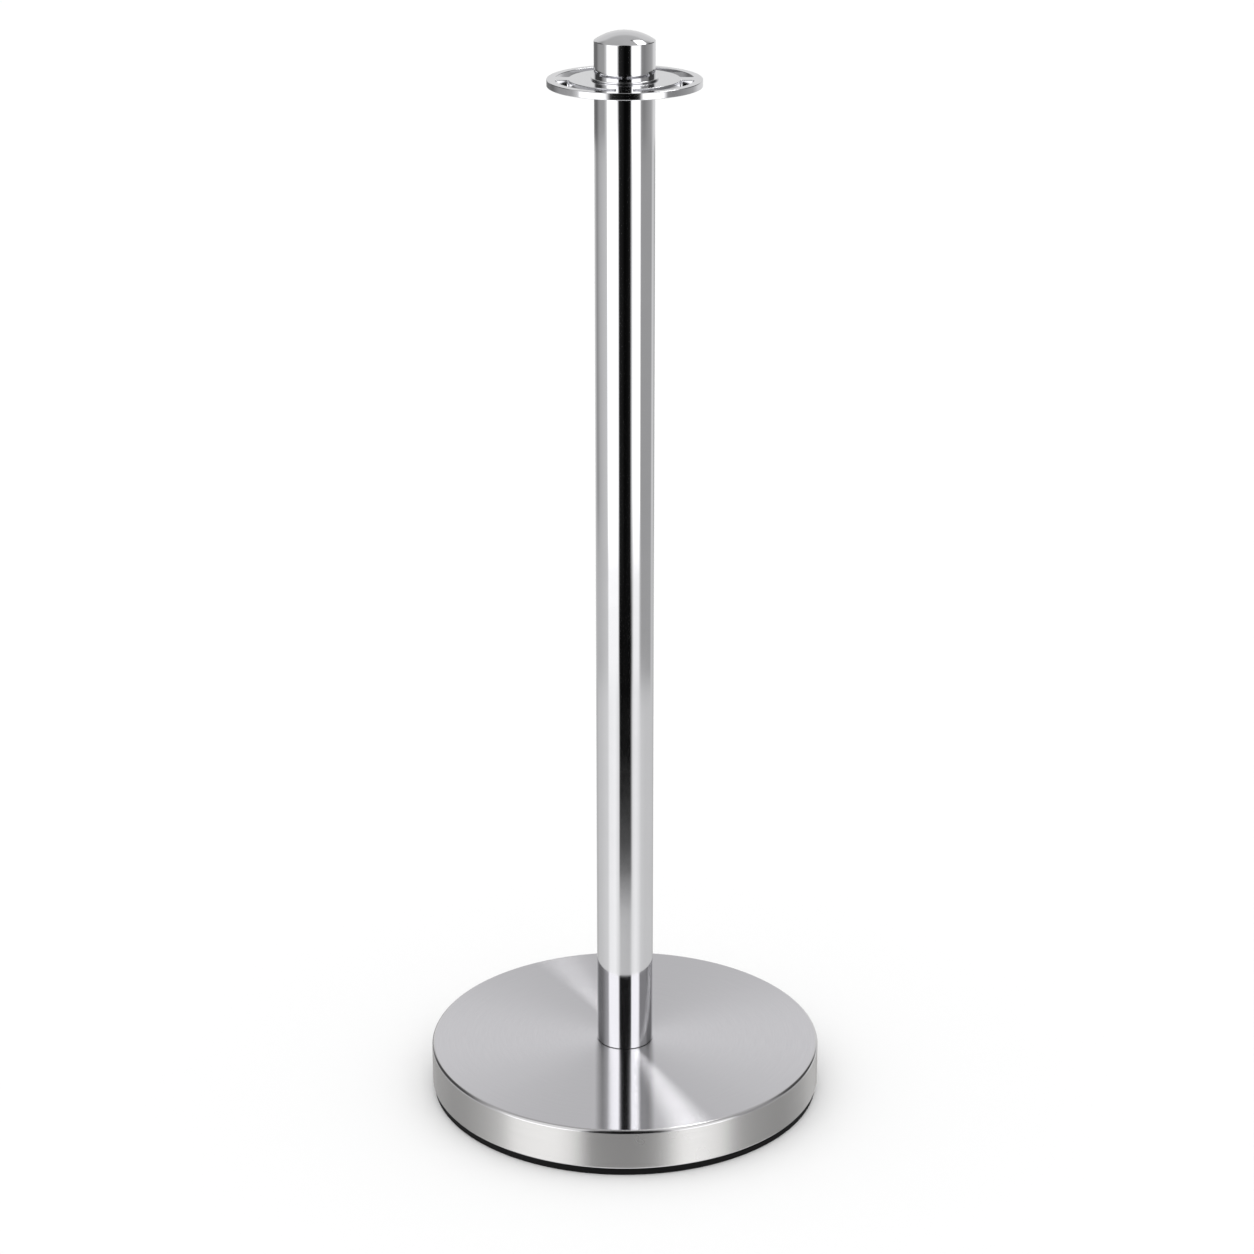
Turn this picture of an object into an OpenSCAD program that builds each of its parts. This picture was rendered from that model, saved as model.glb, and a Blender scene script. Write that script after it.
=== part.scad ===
// Rope barrier stanchion: a weighted round base, a tubular pole, a slotted
// ring plate that takes the rope hooks, and a domed screw cap.
// Origin: centre of the base at floor level, +Z up along the pole.

/* [Base] */
// Outer diameter of the cover
base_d = 354.6; // [320:0.2:400]
// Height of the cover's flat top above the floor
base_top_z = 44.4; // [42:0.2:56]
// Sheet thickness of the cover
cover_wall = 1; // [0.6:0.1:1.4]
// Radius of the cover's top edge
cover_edge_r = 3; // [2:0.5:5]
// Height of rubber that shows below the cover
rubber_show = 6.7; // [5:0.1:7]
// How far the rubber stands in from the cover's side
rubber_inset = 1.5; // [0.5:0.1:2.5]

/* [Pole] */
// Outer diameter of the pole
pole_d = 50.8; // [50:0.2:52]
// Wall thickness of the pole
pole_wall = 1.2; // [1:0.1:1.5]
// Height of the pole's top end above the floor
pole_top_z = 922.2; // [800:0.2:1000]
// Thickness of the gasket under the pole's foot
gasket_t = 0.6; // [0.4:0.1:1]

/* [Ring plate] */
// Outer diameter of the ring plate
plate_d = 129.6; // [126:0.2:140]
// Thickness of the ring plate
plate_t = 6; // [5:0.5:8]
// Inner radius of the rope slots
slot_in_r = 46.7; // [42:0.1:48]
// Outer radius of the rope slots
slot_out_r = 58; // [56:0.1:59]
// Width of the bridges between the slots
bridge_w = 14; // [10:0.5:18]
// Corner radius of the slots
slot_corner_r = 2; // [1:0.5:3]
// Radius of the plate's broken edges
plate_edge_r = 0.7; // [0.3:0.1:1]

/* [Cap] */
// Outer diameter of the cap
cap_d = 51.2; // [51:0.1:52]
// Height of the cap's straight side
cap_side_h = 29.9; // [28:0.1:36]
// Rise of the dome above the straight side
cap_rise = 8.2; // [7:0.1:10]
// Wall thickness of the cap
cap_wall = 1.2; // [1:0.1:1.4]
// Radius of the cap's shoulder
shoulder_r = 1; // [0.5:0.1:1.5]
// Outer diameter of the collar under the cap
collar_d = 56.4; // [55:0.2:58]
// Thickness of the collar
collar_t = 1.6; // [1.5:0.1:2]

/* [Screws] */
// Diameter of the base bolt
bolt_d = 12; // [12:1:12]
// Length of the base bolt under its head
bolt_l = 50; // [50:1:55]
// Diameter of the head stud
stud_d = 10; // [10:1:10]
// Length of the head stud
stud_l = 50; // [48:1:52]

/* [Hidden] */
$fn = 96;

// Gaps: a running fit, a loose fit, and the overshoot of a cutting shape
fit = 0.05;
loose = 0.3;
over = 1;

// Base, from the outside in
base_r = base_d / 2;
cover_in_r = base_r - cover_wall;
hem_w = 3;
rubber_r = base_r - rubber_inset;
rubber_in_r = base_r - 17;
rubber_lock_h = 4;
rubber_foot_r = 1.2;
rubber_neck_z = rubber_show + cover_wall + 0.2;
rubber_top_z = rubber_neck_z + rubber_lock_h;
weight_r = cover_in_r - over;
weight_foot_z = 4;
weight_edge_r = cover_edge_r + over;
weight_top_z = base_top_z - cover_wall;
recess_r = 30;
seat_z = 20;
core_bore_r = bolt_d / 2 + 1;
core_sleeve_r = core_bore_r + 2;

// Base bolt and its washers, hanging under the seat
clamp_r = 27;
clamp_t = 3;
spring_r = bolt_d / 2 + 4.2;
spring_t = 2.5;
spring_gap_a = 10;
bolt_hole_r = bolt_d / 2 + 0.6;
head_across = 18;
head_h = 7.5;
head_top_z = seat_z - clamp_t - spring_t;
thread_point = 1.2;

// Pole, its plugs and the neck on which the ring plate turns
pole_r = pole_d / 2;
pole_in_r = pole_r - pole_wall;
pole_foot_z = base_top_z + gasket_t;
plug_h = 20;
plug_r = pole_in_r - fit;
stud_r = stud_d / 2;
stud_foot_z = pole_top_z - plug_h + over;
nut_across = 17;
nut_h = 5;
neck_r = 15;
neck_in_r = 10.5;
neck_over = 0.4;
thrust_t = 1;
thrust_r = pole_r - 0.5;

// Ring plate
plate_r = plate_d / 2;
plate_z = pole_top_z + thrust_t;
plate_top_z = plate_z + plate_t;
bush_r = 18;
neck_top_z = plate_top_z + neck_over;

// Collar and cap
collar_r = collar_d / 2;
collar_in_r = neck_r + 0.4;
collar_edge_r = 0.6;
pocket_r = 24.2;
pocket_h = 0.8;
collar_top_z = plate_top_z + collar_t;
cap_r = cap_d / 2;
cap_in_r = cap_r - cap_wall;
lip_r = cap_in_r - loose;
lip_w = 1.5;
lip_h = 0.6;
dome_r = (cap_r * cap_r + cap_rise * cap_rise) / (2 * cap_rise);
dome_z = collar_top_z + cap_side_h + cap_rise - dome_r;
inner_shoulder_r = 0.3;
boss_r = 13;
boss_bore_h = stud_foot_z + stud_l - neck_top_z + over;
boss_h = boss_bore_h + 2.5;
disc_z = collar_top_z + lip_h + 0.2;
disc_t = 3;

// Wave washer
wave_in_r = neck_r + over;
wave_out_r = pocket_r - 0.4;
wave_t = 0.4;
wave_count = 3;
wave_steps = 72;

// Half profile of a ring with its outer edges rounded, to revolve about Z
module ring_profile(in_r, out_r, low_z, high_z, low_edge, high_edge) {
    translate([in_r, low_z])
        square([out_r - in_r - max(low_edge, high_edge), high_z - low_z]);
    translate([in_r, low_z + low_edge])
        square([out_r - in_r, high_z - low_z - low_edge - high_edge]);
    if (low_edge > 0) {
        translate([in_r, low_z])
            square([out_r - in_r - low_edge, low_edge]);
        translate([out_r - low_edge, low_z + low_edge]) circle(low_edge);
    }
    if (high_edge > 0) {
        translate([in_r, high_z - high_edge])
            square([out_r - in_r - high_edge, high_edge]);
        translate([out_r - high_edge, high_z - high_edge]) circle(high_edge);
    }
}

module ring(in_r, out_r, low_z, high_z, low_edge = 0, high_edge = 0) {
    rotate_extrude()
        ring_profile(in_r, out_r, low_z, high_z, low_edge, high_edge);
}

// Half profile of a domed plug: a straight side, a small shoulder, a dome
module domed_profile(side_r, foot_z, sphere_r, shoulder) {
    reach = side_r - shoulder;
    rise = sqrt(pow(sphere_r - shoulder, 2) - reach * reach);
    translate([0, foot_z]) square([side_r, dome_z + rise - foot_z]);
    translate([reach, dome_z + rise]) circle(shoulder);
    intersection() {
        translate([0, dome_z]) circle(sphere_r);
        translate([0, dome_z])
            polygon([[0, rise], [reach, rise], [2 * reach, 2 * rise],
                [reach, 3 * rise], [0, 3 * rise]]);
    }
}

module screw_shank(r, foot_z, length) {
    translate([0, 0, foot_z]) cylinder(h = length - thread_point, r = r);
    translate([0, 0, foot_z + length - thread_point])
        cylinder(h = thread_point, r1 = r, r2 = r - thread_point);
}

module hex_prism(across, foot_z, h) {
    translate([0, 0, foot_z]) intersection() {
        cylinder(h = h, r = across / sqrt(3), $fn = 6);
        cylinder(h = h, r1 = across / 2, r2 = across / 2 + 2 * h);
    }
}

// What is left in one corner of a slot when the corner is rounded.
// side is 1 at the outer wall and -1 at the inner wall.
module slot_corner(wall_r, side) {
    mid_y = bridge_w / 2 + slot_corner_r;
    mid_r = wall_r - side * slot_corner_r;
    mid_x = sqrt(mid_r * mid_r - mid_y * mid_y);
    square_x = sqrt(wall_r * wall_r - pow(bridge_w / 2, 2));
    reach = 1 + side * 0.06;
    difference() {
        polygon([
            [mid_x, mid_y],
            [mid_x, bridge_w / 2 - over],
            [square_x + side * over, bridge_w / 2 - over],
            [mid_x, mid_y] * reach * wall_r / mid_r,
        ]);
        translate([mid_x, mid_y]) circle(slot_corner_r);
    }
}

// One slot: a quarter of the space between two circles, less the bridges
module rope_slot() {
    difference() {
        circle(slot_out_r);
        circle(slot_in_r);
        translate([-plate_r, -plate_r]) square([2 * plate_r, plate_r + bridge_w / 2]);
        translate([-plate_r, -plate_r]) square([plate_r + bridge_w / 2, 2 * plate_r]);
        for (flip = [0, 1]) mirror([flip, -flip]) {
            slot_corner(slot_out_r, 1);
            slot_corner(slot_in_r, -1);
        }
    }
}

module rubber_floor_ring() {
    color("#1b1b1c") rotate_extrude() {
        ring_profile(rubber_in_r, rubber_r, 0, rubber_show, rubber_foot_r, 0);
        translate([rubber_in_r, rubber_show - over])
            square([cover_in_r - hem_w - loose - rubber_in_r, over + 2]);
        translate([rubber_in_r, rubber_neck_z])
            square([cover_in_r - loose - rubber_in_r, rubber_lock_h]);
    }
}

module base_weight() {
    color("#8d8b86") difference() {
        rotate_extrude() {
            ring_profile(core_sleeve_r + fit, weight_r, rubber_top_z, weight_top_z,
                0, weight_edge_r);
            translate([core_sleeve_r + fit, weight_foot_z])
                square([rubber_in_r - loose - core_sleeve_r - fit,
                    rubber_top_z - weight_foot_z + over]);
        }
        cylinder(h = seat_z, r = recess_r);
    }
}

module base_core_sleeve() {
    color("#9a9c9e") ring(core_bore_r, core_sleeve_r, seat_z, weight_top_z);
}

module base_cover() {
    color("#c4c3c4") rotate_extrude() {
        difference() {
            ring_profile(0, base_r, rubber_show, base_top_z, 0, cover_edge_r);
            ring_profile(0, cover_in_r, rubber_show - over, weight_top_z,
                0, cover_edge_r - cover_wall);
            square([bolt_hole_r, base_top_z + over]);
        }
        translate([cover_in_r - hem_w, rubber_show])
            square([hem_w + cover_wall / 2, cover_wall]);
    }
}

module foot_gasket() {
    color("#2a2a2b")
        ring(bolt_hole_r, pole_r - 0.3, base_top_z, base_top_z + gasket_t);
}

module base_clamp_plate() {
    color("#a8aaac") ring(bolt_hole_r, clamp_r, seat_z - clamp_t, seat_z);
}

module base_spring_washer() {
    color("#8c8e90") translate([0, 0, head_top_z])
        rotate_extrude(angle = 360 - spring_gap_a)
            translate([bolt_hole_r, 0]) square([spring_r - bolt_hole_r, spring_t]);
}

module base_bolt() {
    color("#9ea1a4") {
        mirror([0, 0, 1]) hex_prism(head_across, -head_top_z, head_h);
        screw_shank(bolt_d / 2, head_top_z, bolt_l);
    }
}

module pole_tube() {
    color("#cfd0d2") ring(pole_in_r, pole_r, pole_foot_z, pole_top_z);
}

module pole_bottom_plug() {
    color("#8f9194")
        ring(bolt_d / 2 + fit, plug_r, pole_foot_z, pole_foot_z + plug_h);
}

module pole_top_plug() {
    color("#8f9194") ring(stud_r + fit, plug_r, pole_top_z - plug_h, pole_top_z);
}

module head_stud() {
    color("#9ea1a4") screw_shank(stud_r, stud_foot_z, stud_l);
}

module stud_jam_nut() {
    color("#9ea1a4") difference() {
        hex_prism(nut_across, pole_top_z, nut_h);
        translate([0, 0, pole_top_z - over]) cylinder(h = nut_h + 2 * over, r = stud_r + fit);
    }
}

module neck_sleeve() {
    color("#b4b6b8") ring(neck_in_r, neck_r, pole_top_z, neck_top_z);
}

module lower_thrust_washer() {
    color("#e6e4dc") ring(neck_r + loose, thrust_r, pole_top_z, plate_z);
}

module ring_bush() {
    color("#e6e4dc") ring(neck_r + fit, bush_r - fit, plate_z, plate_top_z);
}

module rope_ring_plate() {
    color("#c9c9ce") difference() {
        ring(bush_r, plate_r, plate_z, plate_top_z, plate_edge_r, plate_edge_r);
        for (quarter = [0:3]) rotate(90 * quarter)
            translate([0, 0, plate_z - over])
                linear_extrude(plate_t + 2 * over) rope_slot();
    }
}

module cap_collar() {
    color("#cfd0d2") rotate_extrude() {
        difference() {
            ring_profile(collar_in_r, collar_r, plate_top_z, collar_top_z,
                collar_edge_r, collar_edge_r);
            translate([collar_in_r - over, plate_top_z - over])
                square([pocket_r - collar_in_r + over, pocket_h + over]);
        }
        translate([lip_r - lip_w, collar_top_z - collar_t / 4])
            square([lip_w, lip_h + collar_t / 4]);
    }
}

// Height of the washer's underside at step i of its waves
function wave_z(i) = (pocket_h - wave_t) / 2 * (1 + sin(360 * wave_count * i / wave_steps));

module wave_washer() {
    points = [
        for (i = [0:wave_steps - 1], r = [wave_in_r, wave_out_r], t = [0, wave_t])
            [r * cos(360 * i / wave_steps), r * sin(360 * i / wave_steps), wave_z(i) + t]
    ];
    // The four corners of each cross-section, in turn round it
    turn = [0, 1, 3, 2];
    faces = [
        for (i = [0:wave_steps - 1], k = [0:3])
            let (a = 4 * i, b = 4 * ((i + 1) % wave_steps), p = turn[k], q = turn[(k + 1) % 4])
                each [[a + p, b + q, b + p], [a + p, a + q, b + q]]
    ];
    color("#85878a") translate([0, 0, plate_top_z]) polyhedron(points, faces);
}

module cap_shell() {
    color("#cfd0d2") rotate_extrude() difference() {
        domed_profile(cap_r, collar_top_z, dome_r, shoulder_r);
        domed_profile(cap_in_r, collar_top_z - over, dome_r - cap_wall, inner_shoulder_r);
    }
}

module cap_boss() {
    color("#8f9194") translate([0, 0, neck_top_z]) difference() {
        cylinder(h = boss_h, r = boss_r);
        translate([0, 0, -over]) cylinder(h = boss_bore_h + over, r = stud_r + fit);
    }
}

module cap_closing_disc() {
    color("#8f9194") ring(boss_r + fit, cap_in_r - fit, disc_z, disc_z + disc_t);
}

rubber_floor_ring();
base_weight();
base_core_sleeve();
base_cover();
foot_gasket();
base_clamp_plate();
base_spring_washer();
base_bolt();
pole_tube();
pole_bottom_plug();
pole_top_plug();
head_stud();
stud_jam_nut();
neck_sleeve();
lower_thrust_washer();
ring_bush();
rope_ring_plate();
cap_collar();
wave_washer();
cap_shell();
cap_boss();
cap_closing_disc();
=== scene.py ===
import math

import bmesh
import bpy
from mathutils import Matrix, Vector


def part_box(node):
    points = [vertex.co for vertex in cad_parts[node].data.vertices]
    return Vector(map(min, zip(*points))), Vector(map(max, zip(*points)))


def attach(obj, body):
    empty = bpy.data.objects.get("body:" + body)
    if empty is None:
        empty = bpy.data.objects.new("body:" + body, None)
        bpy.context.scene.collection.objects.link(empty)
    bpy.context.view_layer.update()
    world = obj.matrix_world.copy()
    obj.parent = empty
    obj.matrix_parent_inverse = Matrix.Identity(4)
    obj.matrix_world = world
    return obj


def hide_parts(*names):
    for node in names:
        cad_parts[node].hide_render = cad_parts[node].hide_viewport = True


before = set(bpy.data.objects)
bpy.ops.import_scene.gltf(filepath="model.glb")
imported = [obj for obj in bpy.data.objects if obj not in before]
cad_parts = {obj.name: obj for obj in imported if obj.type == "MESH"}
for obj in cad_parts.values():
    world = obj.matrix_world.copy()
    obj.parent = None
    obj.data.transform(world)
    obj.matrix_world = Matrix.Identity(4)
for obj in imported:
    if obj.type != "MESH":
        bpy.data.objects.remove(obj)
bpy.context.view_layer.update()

# ---------------------------------------------------------------------------
# Rubber floor ring
# A black rubber ring, moulded in one piece, whose lip snaps over the hem of
# the base cover. It keeps the metal off the floor and stops it from sliding.
# ---------------------------------------------------------------------------
MM = 0.001
RUBBER_MOTTLE = 11.0
RUBBER_GRAIN = 0.7
RUBBER_DUST = 5.0


def linear(hex_colour):
    """An sRGB hex colour as linear red, green, blue and alpha."""
    values = []
    for start in (1, 3, 5):
        value = int(hex_colour[start:start + 2], 16) / 255
        values.append(value / 12.92 if value <= 0.04045 else ((value + 0.055) / 1.055) ** 2.4)
    return (*values, 1)


def add(tree, kind, inputs=None, **settings):
    """Adds one node, with its settings, and a value or a link on each input named."""
    new = tree.nodes.new(kind)
    for key, value in settings.items():
        setattr(new, key, value)
    for key, value in (inputs or {}).items():
        if isinstance(value, bpy.types.NodeSocket):
            tree.links.new(value, new.inputs[key])
        else:
            new.inputs[key].default_value = value
    return new


def new_finish(name):
    """A new empty material, its node tree, and the place on the piece in metres."""
    finish = bpy.data.materials.new(name)
    finish.use_nodes = True
    tree = finish.node_tree
    tree.nodes.clear()
    return finish, tree, add(tree, "ShaderNodeTexCoord").outputs["Object"]


def surface(tree, skin):
    """Sends a shader to the material's output."""
    add(tree, "ShaderNodeOutputMaterial", {"Surface": skin.outputs["BSDF"]})


def dress(piece, finish, body="", replaced=""):
    """Gives a piece its finish and, if it stands for a CAD node, its body, and hides that node.
    """
    piece.data.materials.clear()
    piece.data.materials.append(finish)
    if replaced:
        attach(piece, body)
        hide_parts(replaced)


# Moulded rubber: near black and matt, with the fine texture of the mould and
# a trace of grey dust, so it reads as soft beside the metal.
moulded_rubber, tree, place = new_finish("moulded_rubber")
mottle = add(tree, "ShaderNodeTexNoise", {"Vector": place, "Scale": 1 / (RUBBER_MOTTLE * MM),
                                          "Detail": 6.0})
tone = add(tree, "ShaderNodeMix", {"Factor": mottle.outputs["Fac"], "A": linear("#050506"),
                                   "B": linear("#0b0b0c")}, data_type="RGBA")
specks = add(tree, "ShaderNodeTexNoise", {"Vector": place, "Scale": 1 / (RUBBER_DUST * MM),
                                          "Detail": 8.0, "Roughness": 0.75})
dusty = add(tree, "ShaderNodeMapRange", {"Value": specks.outputs["Fac"], "From Min": 0.6,
                                         "From Max": 0.8, "To Max": 0.3})
tone = add(tree, "ShaderNodeMix", {"Factor": dusty.outputs["Result"],
                                   "A": tone.outputs["Result"], "B": linear("#2b2a29")},
           data_type="RGBA")
grain = add(tree, "ShaderNodeTexNoise", {"Vector": place, "Scale": 1 / (RUBBER_GRAIN * MM),
                                         "Detail": 3.0})
rough = add(tree, "ShaderNodeMapRange", {"Value": grain.outputs["Fac"], "To Min": 0.6,
                                         "To Max": 0.76})
bump = add(tree, "ShaderNodeBump", {"Height": grain.outputs["Fac"], "Strength": 0.35,
                                    "Distance": 0.3 * MM})
surface(tree, add(tree, "ShaderNodeBsdfPrincipled", {
    "Base Color": tone.outputs["Result"], "Roughness": rough.outputs["Result"], "IOR": 1.52,
    "Specular IOR Level": 0.16, "Normal": bump.outputs["Normal"]}))
dress(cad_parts["rubber_floor_ring"], moulded_rubber)

# ---------------------------------------------------------------------------
# Base weight
# A heavy disc of concrete, cast in a mould with a hollow below for the bolt
# head. It fills the cover and is seen only from underneath.
# ---------------------------------------------------------------------------
STONE_SIZE = 7.0
STONE_RADIUS = 0.46
STONE_EDGE = 0.1
STONE_SHOW = 0.6
PORE_SPACING = 6.0
PORE_RADIUS = 0.22
PORE_EDGE = 0.04
PORE_DEPTH = 2.5
SAND_SIZE = 0.9
RAGGED = 5.0
CEMENT_CLOUD = 45.0

# Cast concrete: pale grey cement with cloudy tone, darker and warmer stones
# just under the skin, and small air holes left against the mould, darkened with painted shade.
# The radii and soft edges of stones and pores are shares of their spacing.
cast_concrete, tree, place = new_finish("cast_concrete")
cloud = add(tree, "ShaderNodeTexNoise", {"Vector": place, "Scale": 1 / (CEMENT_CLOUD * MM),
                                         "Detail": 7.0})
cement = add(tree, "ShaderNodeMix", {"Factor": cloud.outputs["Fac"], "A": linear("#827f79"),
                                     "B": linear("#a8a59e")}, data_type="RGBA")
ragged = add(tree, "ShaderNodeTexNoise", {"Vector": place, "Scale": 1 / (STONE_SIZE * MM),
                                          "Detail": 4.0})
ragged = add(tree, "ShaderNodeVectorMath", {0: ragged.outputs["Color"], "Scale": RAGGED * MM},
             operation="SCALE")
ragged = add(tree, "ShaderNodeVectorMath", {0: place, 1: ragged.outputs[0]})
masks = []
for spacing, largest, soft in ((STONE_SIZE, STONE_RADIUS, STONE_EDGE),
                               (PORE_SPACING, PORE_RADIUS, PORE_EDGE)):
    cells = add(tree, "ShaderNodeTexVoronoi", {"Vector": ragged.outputs[0],
                                               "Scale": 1 / (spacing * MM)})
    chance = add(tree, "ShaderNodeSeparateColor", {"Color": cells.outputs["Color"]})
    size = add(tree, "ShaderNodeMapRange", {"Value": chance.outputs["Red"], "From Min": 0.35,
                                            "To Max": largest})
    inside = add(tree, "ShaderNodeMath", {0: size.outputs["Result"],
                                          1: cells.outputs["Distance"]}, operation="SUBTRACT")
    masks.append(add(tree, "ShaderNodeMapRange", {"Value": inside.outputs[0],
                                                  "From Max": soft}).outputs["Result"])
buried, pit = masks
buried = add(tree, "ShaderNodeMath", {0: buried, 1: STONE_SHOW}, operation="MULTIPLY")
stone_tone = add(tree, "ShaderNodeMix", {"Factor": cloud.outputs["Fac"],
                                         "A": linear("#6f6a62"), "B": linear("#938c80")},
                 data_type="RGBA")
tone = add(tree, "ShaderNodeMix", {"Factor": buried.outputs[0],
                                   "A": cement.outputs["Result"],
                                   "B": stone_tone.outputs["Result"]}, data_type="RGBA")
# Painted shade: the air holes are darkened to stand in for the shade inside them
tone = add(tree, "ShaderNodeMix", {"Factor": pit, "A": tone.outputs["Result"],
                                   "B": linear("#4a4844")}, data_type="RGBA")
sand = add(tree, "ShaderNodeTexNoise", {"Vector": place, "Scale": 1 / (SAND_SIZE * MM),
                                        "Detail": 5.0})
height = add(tree, "ShaderNodeMath", {0: pit, 1: -PORE_DEPTH,
                                      2: sand.outputs["Fac"]}, operation="MULTIPLY_ADD")
bump = add(tree, "ShaderNodeBump", {"Height": height.outputs[0], "Strength": 0.7,
                                    "Distance": 0.4 * MM})
rough = add(tree, "ShaderNodeMapRange", {"Value": sand.outputs["Fac"], "To Min": 0.82,
                                         "To Max": 0.96})
surface(tree, add(tree, "ShaderNodeBsdfPrincipled", {
    "Base Color": tone.outputs["Result"], "Roughness": rough.outputs["Result"], "IOR": 1.5,
    "Specular IOR Level": 0.35, "Normal": bump.outputs["Normal"]}))
dress(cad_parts["base_weight"], cast_concrete)

# ---------------------------------------------------------------------------
# Base cover
# A shallow pan, spun from 1 mm stainless steel sheet, with its hem turned in
# under the weight. The top and the side are brushed round and round, and the
# two rolled edges come out brighter than the rest.
# ---------------------------------------------------------------------------
RING_STEPS = 256
ARC_STEPS = 6
COVER_WALL = 1.0
COVER_EDGE = 3.0
HEM_WIDTH = 3.0
HEM_EDGE = 1.6
BOLT_HOLE_RADIUS = 6.6
TOP_LINE_SPACING = 1.3
SIDE_LINE_SPACING = 2.2
BRUSH_TURN = 5.0
SATIN_MOTTLE = 60.0
ROLL_STEPS = 10
UPRIGHT_UNDER = 0.05
LEVEL_OVER = 0.995


def reach_of(node_name):
    """A CAD node's outer radius, and the heights of its foot and its top, in mm."""
    low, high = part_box(node_name)
    return high.x / MM, low.z / MM, high.z / MM


def arc(centre_r, centre_z, radius, start, end, steps=ARC_STEPS):
    """Points on an arc of a half section, each with the direction it faces.

    Angles are in degrees from the outward direction. An arc that turns
    anticlockwise is the outside of a curve, and one that turns back is a hollow.
    """
    side = 1 if end > start else -1
    points = []
    for step in range(steps + 1):
        angle = math.radians(start + (end - start) * step / steps)
        out_r, out_z = math.cos(angle), math.sin(angle)
        points.append((centre_r + radius * out_r, centre_z + radius * out_z,
                       side * out_r, side * out_z))
    return points


def shown_piece(name, mesh, normals=None, sharp=None):
    """Turns a built mesh into a smooth shaded object in the scene.

    Either every face corner brings its own normal, or edges that turn by more
    than a number of degrees are sharp.
    """
    data = bpy.data.meshes.new(name)
    mesh.to_mesh(data)
    mesh.free()
    data.shade_smooth()
    if normals:
        data.normals_split_custom_set(normals)
    if sharp:
        data.set_sharp_from_angle(angle=math.radians(sharp))
    piece = bpy.data.objects.new(name, data)
    bpy.context.scene.collection.objects.link(piece)
    return piece


def turned(name, outline, steps=RING_STEPS):
    """A round piece, turned about Z from its half section in mm.

    The outline runs anticlockwise: up the outside, and in over the top. Each
    point is (radius, height), and on an arc it also has the way it faces.
    """
    count = len(outline)
    mesh = bmesh.new()
    rings = []
    for point in outline:
        r, z = point[0] * MM, point[1] * MM
        if r == 0:
            rings.append([mesh.verts.new((0, 0, z))] * steps)
        else:
            rings.append([mesh.verts.new((r * math.cos(math.tau * s / steps),
                                          r * math.sin(math.tau * s / steps), z))
                          for s in range(steps)])
    normals = []
    for i in range(count):
        after = (i + 1) % count
        (r, z), (next_r, next_z) = outline[i][:2], outline[after][:2]
        if r == 0 and next_r == 0:
            continue
        length = math.hypot(next_r - r, next_z - z)
        flat = (next_z - z) / length, (r - next_r) / length
        start = outline[i][2:] or flat
        end = outline[after][2:] or flat
        for s in range(steps):
            t = (s + 1) % steps
            corners = [(rings[i][s], start, s), (rings[i][t], start, t),
                       (rings[after][t], end, t), (rings[after][s], end, s)]
            if r == 0:
                corners.pop(1)
            if next_r == 0:
                corners.pop(2)
            mesh.faces.new([corner[0] for corner in corners])
            for _, (way_r, way_z), turn in corners:
                angle = math.tau * turn / steps
                normals.append((way_r * math.cos(angle), way_r * math.sin(angle), way_z))
    return shown_piece(name, mesh, normals)


def round_lines(tree, place, spacing, turn, upright=False):
    """Noise drawn out in lines round Z, spaced in mm along the radius.

    turn says how many stretches there are in a radian. With upright, the
    lines are spaced along the height instead.
    """
    axes = add(tree, "ShaderNodeSeparateXYZ", {"Vector": place})
    flat = add(tree, "ShaderNodeCombineXYZ", {"X": axes.outputs["X"], "Y": axes.outputs["Y"]})
    radius = add(tree, "ShaderNodeVectorMath", {0: flat.outputs[0]}, operation="LENGTH")
    way = add(tree, "ShaderNodeVectorMath", {0: flat.outputs[0]}, operation="NORMALIZE")
    way = add(tree, "ShaderNodeVectorMath", {0: way.outputs[0], "Scale": turn},
              operation="SCALE")
    across = axes.outputs["Z"] if upright else radius.outputs["Value"]
    count = add(tree, "ShaderNodeMath", {0: across, 1: 1 / (spacing * MM)},
                operation="MULTIPLY")
    lines = add(tree, "ShaderNodeCombineXYZ", {"Z": count.outputs[0]})
    lines = add(tree, "ShaderNodeVectorMath", {0: lines.outputs[0], 1: way.outputs[0]})
    return add(tree, "ShaderNodeTexNoise", {"Vector": lines.outputs[0], "Scale": 1.0,
                                            "Detail": 3.0, "Roughness": 0.65}).outputs["Fac"]


# Brushed stainless, top: the circles of the brush spread each reflection out
# along the radius and leave it sharp sideways, so the pole stands mirrored in
# it. The lines are about 0.2 mm apart and are drawn coarser, so that they show.
spun_stainless, tree, place = new_finish("spun_stainless")
lines = round_lines(tree, place, TOP_LINE_SPACING, BRUSH_TURN)
tone = add(tree, "ShaderNodeMix", {"Factor": lines, "A": linear("#d6d5d9"),
                                   "B": linear("#e0dfe2")}, data_type="RGBA")
rough = add(tree, "ShaderNodeMapRange", {"Value": lines, "To Min": 0.165, "To Max": 0.185})
bump = add(tree, "ShaderNodeBump", {"Height": lines, "Strength": 0.06, "Distance": 0.03 * MM})
along = add(tree, "ShaderNodeTangent", direction_type="RADIAL", axis="Z")
surface(tree, add(tree, "ShaderNodeBsdfAnisotropic", {
    "Color": tone.outputs["Result"], "Roughness": rough.outputs["Result"], "Anisotropy": 0.9,
    "Normal": bump.outputs["Normal"], "Tangent": along.outputs["Tangent"]},
    distribution="BECKMANN"))

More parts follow.
